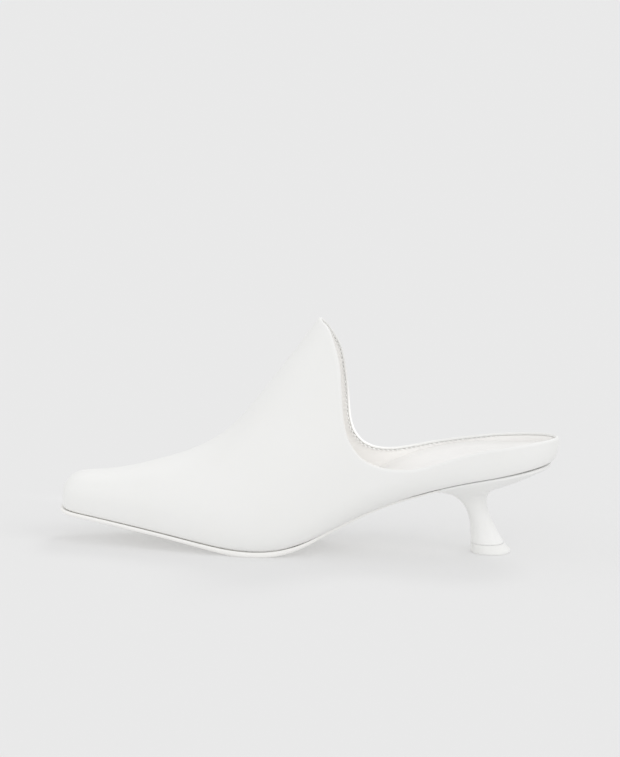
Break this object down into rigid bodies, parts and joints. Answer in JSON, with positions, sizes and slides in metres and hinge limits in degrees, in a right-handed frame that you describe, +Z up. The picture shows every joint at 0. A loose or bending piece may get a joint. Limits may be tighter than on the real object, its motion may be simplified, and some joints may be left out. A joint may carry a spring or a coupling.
{
  "type": "mule shoe",
  "caption": "Left-foot slip-on mule in white leather with a high pointed front, a square toe, an open back, a padded footbed and a low waisted heel.",
  "frame": {"origin": "middle of the shoe's outline, on the floor it stands on", "axes": "+X to the toe, +Y to the wearer's left, which is the outer side of this left shoe, +Z up"},
  "size_m": [0.2696, 0.0802, 0.1255],
  "materials": {
    "upper_leather": "smooth white nappa, semi-matt",
    "insole_leather": "smooth white lining leather",
    "sole_leather": "painted edge, semi-matt",
    "heel_cover": "white leather wrapped over a moulded heel, semi-gloss",
    "top_lift_plastic": "satin"
  },
  "bodies": {
    "root": {"upper": "upper_leather", "insole": "insole_leather", "sole": "sole_leather", "heel": "heel_cover", "top_lift": "top_lift_plastic"}
  },
  "joints": []
}
